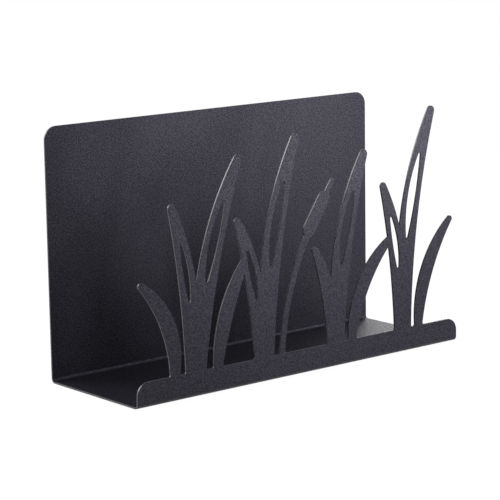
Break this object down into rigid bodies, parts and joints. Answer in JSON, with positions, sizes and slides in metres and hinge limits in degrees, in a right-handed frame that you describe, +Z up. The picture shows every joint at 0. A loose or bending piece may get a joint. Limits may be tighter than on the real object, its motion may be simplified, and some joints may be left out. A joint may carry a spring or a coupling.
{
  "type": "letter holder",
  "caption": "Desktop letter holder folded from black powder-coated sheet steel: tall back panel, flat floor, low front rail and a cut-out reed screen that keeps envelopes upright.",
  "frame": {"origin": "on the desk, under the middle of the holder", "axes": "+X along the holder to the viewer's right, -Y towards the viewer on the screen's side, +Z up"},
  "size_m": [0.25, 0.085, 0.1537],
  "materials": {
    "powder_coated_steel": "matte black powder coat with a fine sand texture, rounded over the cut edges",
    "foot_rubber": "matte moulded black rubber",
    "foot_adhesive": "pale double-sided acrylic adhesive film"
  },
  "bodies": {
    "root": {"folded_sheet_body": "powder_coated_steel", "front_left_foot": "foot_rubber", "back_left_foot": "foot_rubber", "front_right_foot": "foot_rubber", "back_right_foot": "foot_rubber", "front_left_adhesive": "foot_adhesive", "back_left_adhesive": "foot_adhesive", "front_right_adhesive": "foot_adhesive", "back_right_adhesive": "foot_adhesive"}
  },
  "joints": []
}
